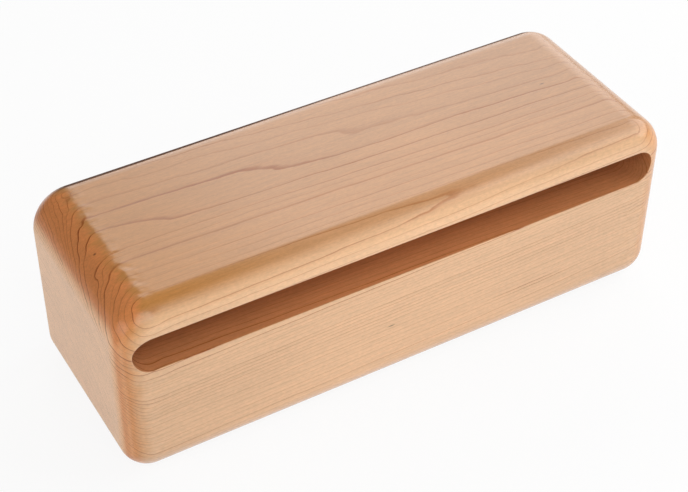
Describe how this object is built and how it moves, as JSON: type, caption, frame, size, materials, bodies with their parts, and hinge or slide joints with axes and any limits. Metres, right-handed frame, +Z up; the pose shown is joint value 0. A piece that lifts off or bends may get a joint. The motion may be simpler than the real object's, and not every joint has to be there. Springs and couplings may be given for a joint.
{
  "type": "wood block",
  "caption": "Solid maple percussion block with rounded edges and a long round-ended sounding slot open at the front; lies flat and is struck on top with a mallet.",
  "frame": {"origin": "on the resting plane, under the middle of the block", "axes": "+X along the grain and the slot, -Y out of the slot's mouth, +Z up out of the struck face"},
  "size_m": [0.221, 0.08, 0.0735],
  "materials": {
    "maple": "semi-gloss clear lacquer"
  },
  "bodies": {
    "root": {"maple_block": "maple"}
  },
  "joints": []
}
